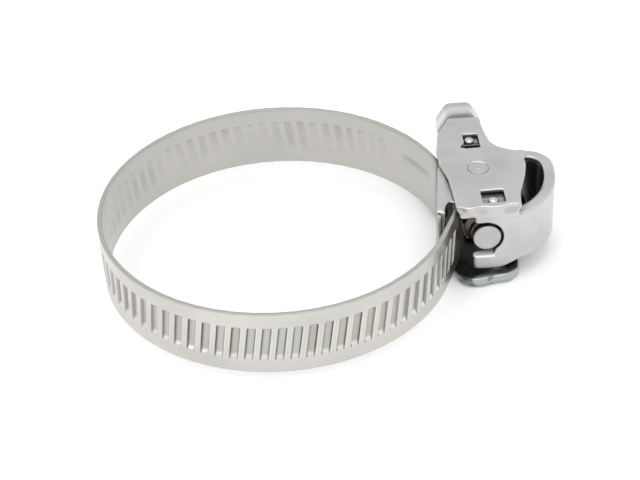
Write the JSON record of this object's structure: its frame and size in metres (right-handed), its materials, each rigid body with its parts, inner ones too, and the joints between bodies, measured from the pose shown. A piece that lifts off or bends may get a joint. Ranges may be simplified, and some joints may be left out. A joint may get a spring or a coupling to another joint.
{
  "type": "hose clamp",
  "caption": "Quick-release worm-drive hose clamp: an embossed steel band with a flattened seat, a rocking screw carrier with a thumb loop, and a hexagon-headed worm screw.",
  "frame": {"origin": "centre of the round part of the band, at the middle of its width", "axes": "+Z along the ring's axis, +X from the ring's centre towards the housing, +Y along the screw towards its hexagon head"},
  "size_m": [0.0805, 0.0622, 0.0156],
  "materials": {
    "band_steel": "bright rolled",
    "pressed_steel": "pressed satin",
    "rivet_steel": "satin",
    "stud_steel": "polished",
    "spring_steel": "blackened",
    "carrier_steel": "tumbled satin",
    "screw_steel": "zinc plated satin"
  },
  "bodies": {
    "band_and_bracket": {"band": "band_steel", "bracket": "pressed_steel", "band_rivets": "rivet_steel", "pivot_rivets": "rivet_steel", "stop_studs": "stud_steel", "return_spring": "spring_steel"},
    "carrier": {"release_carrier": "carrier_steel"},
    "screw": {"worm_screw": "screw_steel"}
  },
  "joints": [
    {"name": "release_rock", "type": "hinge", "parent": "band_and_bracket", "child": "carrier", "pos_m": [0.036, 0.0036, 0], "axis": [0, 0, 1], "range_deg": [0, 4.2], "stiffness_Nm_per_rad": 0.05, "springref_deg": -17.19, "deforming": ["return_spring"]},
    {"name": "screw_turn", "type": "hinge", "parent": "carrier", "child": "screw", "pos_m": [0.036, 0, 0.001], "axis": [0, 1, 0], "continuous": true}
  ]
}
